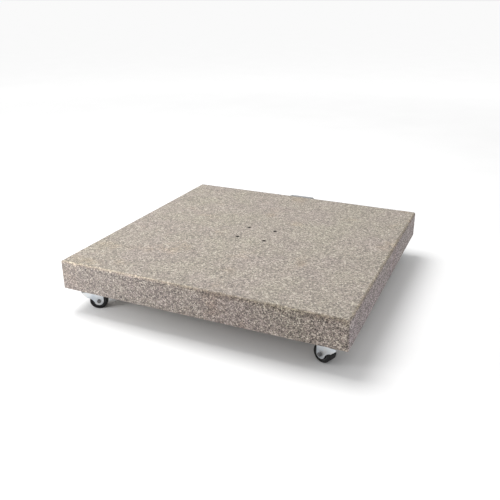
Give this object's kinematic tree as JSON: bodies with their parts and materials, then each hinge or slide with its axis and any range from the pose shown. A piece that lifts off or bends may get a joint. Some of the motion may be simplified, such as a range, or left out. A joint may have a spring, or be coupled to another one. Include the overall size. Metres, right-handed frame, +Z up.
{
  "type": "granite parasol base",
  "caption": "Square granite slab on swivel castors, drilled in the middle for a parasol mast's foot plate, with a drop handle on its rear face.",
  "frame": {"origin": "on the floor under the middle of the slab", "axes": "+Z up, +Y towards the edge with the handle, +X to the right seen from the front"},
  "size_m": [0.8, 0.8102, 0.1535],
  "materials": {
    "granite": "flamed top and sides, fine speckle",
    "zinc_steel": "bright zinc plate on pressed sheet",
    "screw_steel": "zinc plated",
    "ball_steel": "polished, greased",
    "axle_steel": "dull zinc",
    "handle_steel": "hot dip galvanised",
    "insert_brass": "as turned",
    "core_plastic": "moulded",
    "tyre_rubber": "moulded rubber"
  },
  "bodies": {
    "base": {"granite_slab": "granite", "castor_inserts": "insert_brass", "castor_screws": "screw_steel", "handle_inserts": "insert_brass", "handle_plate": "handle_steel", "handle_screws": "screw_steel", "front_left_top_plate": "zinc_steel", "front_left_king_pin": "screw_steel", "front_right_top_plate": "zinc_steel", "front_right_king_pin": "screw_steel", "rear_left_top_plate": "zinc_steel", "rear_left_king_pin": "screw_steel", "rear_right_top_plate": "zinc_steel", "rear_right_king_pin": "screw_steel"},
    "front_left_swivel": {"front_left_ball_ring": "ball_steel", "front_left_fork": "zinc_steel", "front_left_thrust_washer": "screw_steel", "front_left_axle_sleeve": "screw_steel", "front_left_axle_bolt": "axle_steel", "front_left_axle_nut": "axle_steel"},
    "front_left_wheel": {"front_left_wheel_core": "core_plastic", "front_left_tyre": "tyre_rubber"},
    "front_right_swivel": {"front_right_ball_ring": "ball_steel", "front_right_fork": "zinc_steel", "front_right_thrust_washer": "screw_steel", "front_right_axle_sleeve": "screw_steel", "front_right_axle_bolt": "axle_steel", "front_right_axle_nut": "axle_steel"},
    "front_right_wheel": {"front_right_wheel_core": "core_plastic", "front_right_tyre": "tyre_rubber"},
    "rear_left_swivel": {"rear_left_ball_ring": "ball_steel", "rear_left_fork": "zinc_steel", "rear_left_thrust_washer": "screw_steel", "rear_left_axle_sleeve": "screw_steel", "rear_left_axle_bolt": "axle_steel", "rear_left_axle_nut": "axle_steel"},
    "rear_left_wheel": {"rear_left_wheel_core": "core_plastic", "rear_left_tyre": "tyre_rubber"},
    "rear_right_swivel": {"rear_right_ball_ring": "ball_steel", "rear_right_fork": "zinc_steel", "rear_right_thrust_washer": "screw_steel", "rear_right_axle_sleeve": "screw_steel", "rear_right_axle_bolt": "axle_steel", "rear_right_axle_nut": "axle_steel"},
    "rear_right_wheel": {"rear_right_wheel_core": "core_plastic", "rear_right_tyre": "tyre_rubber"},
    "handle": {"handle_bail": "handle_steel"}
  },
  "joints": [
    {"name": "front_left_swivel", "type": "hinge", "parent": "base", "child": "front_left_swivel", "pos_m": [-0.355, -0.355, 0.054], "axis": [0, 0, 1], "continuous": true},
    {"name": "front_left_roll", "type": "hinge", "parent": "front_left_swivel", "child": "front_left_wheel", "pos_m": [-0.33262, -0.3399, 0.025], "axis": [-0.5592, 0.829, 0], "continuous": true},
    {"name": "front_right_swivel", "type": "hinge", "parent": "base", "child": "front_right_swivel", "pos_m": [0.355, -0.355, 0.054], "axis": [0, 0, 1], "continuous": true},
    {"name": "front_right_roll", "type": "hinge", "parent": "front_right_swivel", "child": "front_right_wheel", "pos_m": [0.32997, -0.34489, 0.025], "axis": [-0.3746, -0.9272, 0], "continuous": true},
    {"name": "rear_left_swivel", "type": "hinge", "parent": "base", "child": "rear_left_swivel", "pos_m": [-0.355, 0.355, 0.054], "axis": [0, 0, 1], "continuous": true},
    {"name": "rear_left_roll", "type": "hinge", "parent": "rear_left_swivel", "child": "rear_left_wheel", "pos_m": [-0.34621, 0.38053, 0.025], "axis": [-0.9455, 0.3256, 0], "continuous": true},
    {"name": "rear_right_swivel", "type": "hinge", "parent": "base", "child": "rear_right_swivel", "pos_m": [0.355, 0.355, 0.054], "axis": [0, 0, 1], "continuous": true},
    {"name": "rear_right_roll", "type": "hinge", "parent": "rear_right_swivel", "child": "rear_right_wheel", "pos_m": [0.34232, 0.37884, 0.025], "axis": [-0.8829, -0.4695, 0], "continuous": true},
    {"name": "handle_lift", "type": "hinge", "parent": "base", "child": "handle", "pos_m": [0, 0.4052, 0.1485], "axis": [1, 0, 0], "range_deg": [0, 195]}
  ]
}
